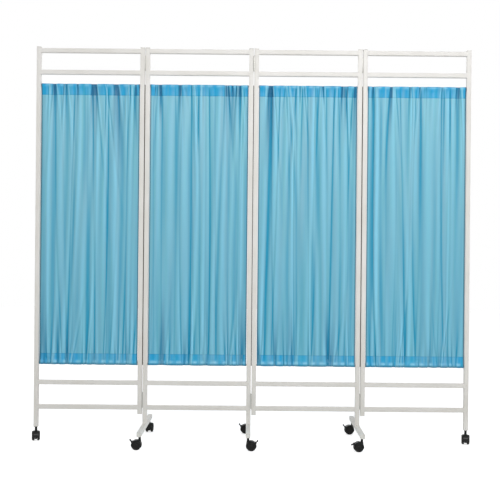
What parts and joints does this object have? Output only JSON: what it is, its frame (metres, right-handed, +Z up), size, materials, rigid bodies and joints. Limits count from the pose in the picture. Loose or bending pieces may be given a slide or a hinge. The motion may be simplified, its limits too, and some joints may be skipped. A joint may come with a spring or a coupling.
{
  "type": "folding privacy screen",
  "caption": "Folding ward privacy screen: hinged square-tube panels with gathered curtains on rods, cross feet, and twin-wheel swivel casters with brake levers.",
  "frame": {"origin": "on the floor under the middle fold, midway along the opened-out screen and between the ends of the feet", "axes": "+X along the opened-out screen to the right as seen from the front, +Y from the front to the back, +Z up"},
  "size_m": [2.0078, 0.4348, 1.8],
  "materials": {
    "powder_coat": "light grey powder coat, satin",
    "zinc_steel": "zinc plated",
    "curtain_cloth": "thin sky blue plain weave",
    "hood_nylon": "black moulded nylon, fine grain",
    "wheel_nylon": "black moulded nylon, worn on the tread"
  },
  "bodies": {
    "panel_2": {"frame_2": "powder_coat", "rod_top_2": "zinc_steel", "rod_bottom_2": "zinc_steel", "curtain_2": "curtain_cloth", "foot_left": "powder_coat", "foot_middle": "powder_coat", "hinge_left_lower_pin_leaf": "zinc_steel", "hinge_left_upper_pin_leaf": "zinc_steel", "hinge_middle_lower_pin_leaf": "zinc_steel", "hinge_middle_upper_pin_leaf": "zinc_steel", "caster_left_front_stem": "zinc_steel", "caster_left_rear_stem": "zinc_steel", "caster_middle_front_stem": "zinc_steel", "caster_middle_rear_stem": "zinc_steel"},
    "panel_1": {"frame_1": "powder_coat", "rod_top_1": "zinc_steel", "rod_bottom_1": "zinc_steel", "curtain_1": "curtain_cloth", "hinge_left_lower_free_leaf": "zinc_steel", "hinge_left_upper_free_leaf": "zinc_steel", "caster_outer_left_stem": "zinc_steel"},
    "panel_3": {"frame_3": "powder_coat", "rod_top_3": "zinc_steel", "rod_bottom_3": "zinc_steel", "curtain_3": "curtain_cloth", "foot_right": "powder_coat", "hinge_middle_lower_free_leaf": "zinc_steel", "hinge_middle_upper_free_leaf": "zinc_steel", "hinge_right_lower_pin_leaf": "zinc_steel", "hinge_right_upper_pin_leaf": "zinc_steel", "caster_right_front_stem": "zinc_steel", "caster_right_rear_stem": "zinc_steel"},
    "panel_4": {"frame_4": "powder_coat", "rod_top_4": "zinc_steel", "rod_bottom_4": "zinc_steel", "curtain_4": "curtain_cloth", "hinge_right_lower_free_leaf": "zinc_steel", "hinge_right_upper_free_leaf": "zinc_steel", "caster_outer_right_stem": "zinc_steel"},
    "swivel_outer_left": {"caster_outer_left_hood": "hood_nylon"},
    "wheels_outer_left": {"caster_outer_left_wheels": "wheel_nylon"},
    "swivel_left_front": {"caster_left_front_hood": "hood_nylon"},
    "wheels_left_front": {"caster_left_front_wheels": "wheel_nylon"},
    "brake_left_front": {"caster_left_front_brake": "hood_nylon"},
    "swivel_left_rear": {"caster_left_rear_hood": "hood_nylon"},
    "wheels_left_rear": {"caster_left_rear_wheels": "wheel_nylon"},
    "swivel_middle_front": {"caster_middle_front_hood": "hood_nylon"},
    "wheels_middle_front": {"caster_middle_front_wheels": "wheel_nylon"},
    "brake_middle_front": {"caster_middle_front_brake": "hood_nylon"},
    "swivel_middle_rear": {"caster_middle_rear_hood": "hood_nylon"},
    "wheels_middle_rear": {"caster_middle_rear_wheels": "wheel_nylon"},
    "brake_middle_rear": {"caster_middle_rear_brake": "hood_nylon"},
    "swivel_right_front": {"caster_right_front_hood": "hood_nylon"},
    "wheels_right_front": {"caster_right_front_wheels": "wheel_nylon"},
    "brake_right_front": {"caster_right_front_brake": "hood_nylon"},
    "swivel_right_rear": {"caster_right_rear_hood": "hood_nylon"},
    "wheels_right_rear": {"caster_right_rear_wheels": "wheel_nylon"},
    "brake_right_rear": {"caster_right_rear_brake": "hood_nylon"},
    "swivel_outer_right": {"caster_outer_right_hood": "hood_nylon"},
    "wheels_outer_right": {"caster_outer_right_wheels": "wheel_nylon"}
  },
  "joints": [
    {"name": "left_fold", "type": "hinge", "parent": "panel_2", "child": "panel_1", "pos_m": [-0.498, 0.014, 0.9], "axis": [0, 0, -1], "range_deg": [0, 150]},
    {"name": "middle_fold", "type": "hinge", "parent": "panel_2", "child": "panel_3", "pos_m": [0, -0.014, 0.9], "axis": [0, 0, -1], "range_deg": [0, 125]},
    {"name": "right_fold", "type": "hinge", "parent": "panel_3", "child": "panel_4", "pos_m": [0.498, 0.014, 0.9], "axis": [0, 0, 1], "range_deg": [0, 150]},
    {"name": "swivel_outer_left", "type": "hinge", "parent": "panel_1", "child": "swivel_outer_left", "pos_m": [-0.984, 0, 0.045], "axis": [0, 0, 1], "continuous": true},
    {"name": "roll_outer_left", "type": "hinge", "parent": "swivel_outer_left", "child": "wheels_outer_left", "pos_m": [-0.98085, -0.01364, 0.021], "axis": [0.9744, 0.225, 0], "continuous": true},
    {"name": "swivel_left_front", "type": "hinge", "parent": "panel_2", "child": "swivel_left_front", "pos_m": [-0.486, -0.182, 0.045], "axis": [0, 0, 1], "continuous": true},
    {"name": "roll_left_front", "type": "hinge", "parent": "swivel_left_front", "child": "wheels_left_front", "pos_m": [-0.5, -0.182, 0.021], "axis": [0, -1, 0], "continuous": true},
    {"name": "brake_left_front", "type": "hinge", "parent": "swivel_left_front", "child": "brake_left_front", "pos_m": [-0.52031, -0.182, 0.03522], "axis": [0, -1, 0], "range_deg": [0, 70]},
    {"name": "swivel_left_rear", "type": "hinge", "parent": "panel_2", "child": "swivel_left_rear", "pos_m": [-0.486, 0.182, 0.045], "axis": [0, 0, 1], "continuous": true},
    {"name": "roll_left_rear", "type": "hinge", "parent": "swivel_left_rear", "child": "wheels_left_rear", "pos_m": [-0.486, 0.196, 0.021], "axis": [-1, 0, 0], "continuous": true},
    {"name": "swivel_middle_front", "type": "hinge", "parent": "panel_2", "child": "swivel_middle_front", "pos_m": [-0.012, -0.182, 0.045], "axis": [0, 0, 1], "continuous": true},
    {"name": "roll_middle_front", "type": "hinge", "parent": "swivel_middle_front", "child": "wheels_middle_front", "pos_m": [0.002, -0.182, 0.021], "axis": [0, 1, 0], "continuous": true},
    {"name": "brake_middle_front", "type": "hinge", "parent": "swivel_middle_front", "child": "brake_middle_front", "pos_m": [0.02232, -0.182, 0.03522], "axis": [0, 1, 0], "range_deg": [0, 70]},
    {"name": "swivel_middle_rear", "type": "hinge", "parent": "panel_2", "child": "swivel_middle_rear", "pos_m": [-0.012, 0.182, 0.045], "axis": [0, 0, 1], "continuous": true},
    {"name": "roll_middle_rear", "type": "hinge", "parent": "swivel_middle_rear", "child": "wheels_middle_rear", "pos_m": [-0.026, 0.182, 0.021], "axis": [0, -1, 0], "continuous": true},
    {"name": "brake_middle_rear", "type": "hinge", "parent": "swivel_middle_rear", "child": "brake_middle_rear", "pos_m": [-0.04632, 0.182, 0.03522], "axis": [0, -1, 0], "range_deg": [0, 70]},
    {"name": "swivel_right_front", "type": "hinge", "parent": "panel_3", "child": "swivel_right_front", "pos_m": [0.486, -0.182, 0.045], "axis": [0, 0, 1], "continuous": true},
    {"name": "roll_right_front", "type": "hinge", "parent": "swivel_right_front", "child": "wheels_right_front", "pos_m": [0.472, -0.182, 0.021], "axis": [0, -1, 0], "continuous": true},
    {"name": "brake_right_front", "type": "hinge", "parent": "swivel_right_front", "child": "brake_right_front", "pos_m": [0.45169, -0.182, 0.03522], "axis": [0, -1, 0], "range_deg": [-70, 0]},
    {"name": "swivel_right_rear", "type": "hinge", "parent": "panel_3", "child": "swivel_right_rear", "pos_m": [0.486, 0.182, 0.045], "axis": [0, 0, 1], "continuous": true},
    {"name": "roll_right_rear", "type": "hinge", "parent": "swivel_right_rear", "child": "wheels_right_rear", "pos_m": [0.472, 0.182, 0.021], "axis": [0, -1, 0], "continuous": true},
    {"name": "brake_right_rear", "type": "hinge", "parent": "swivel_right_rear", "child": "brake_right_rear", "pos_m": [0.45169, 0.182, 0.03522], "axis": [0, -1, 0], "range_deg": [0, 70]},
    {"name": "swivel_outer_right", "type": "hinge", "parent": "panel_4", "child": "swivel_outer_right", "pos_m": [0.984, 0, 0.045], "axis": [0, 0, 1], "continuous": true},
    {"name": "roll_outer_right", "type": "hinge", "parent": "swivel_outer_right", "child": "wheels_outer_right", "pos_m": [0.98085, -0.01364, 0.021], "axis": [0.9744, -0.225, 0], "continuous": true}
  ]
}
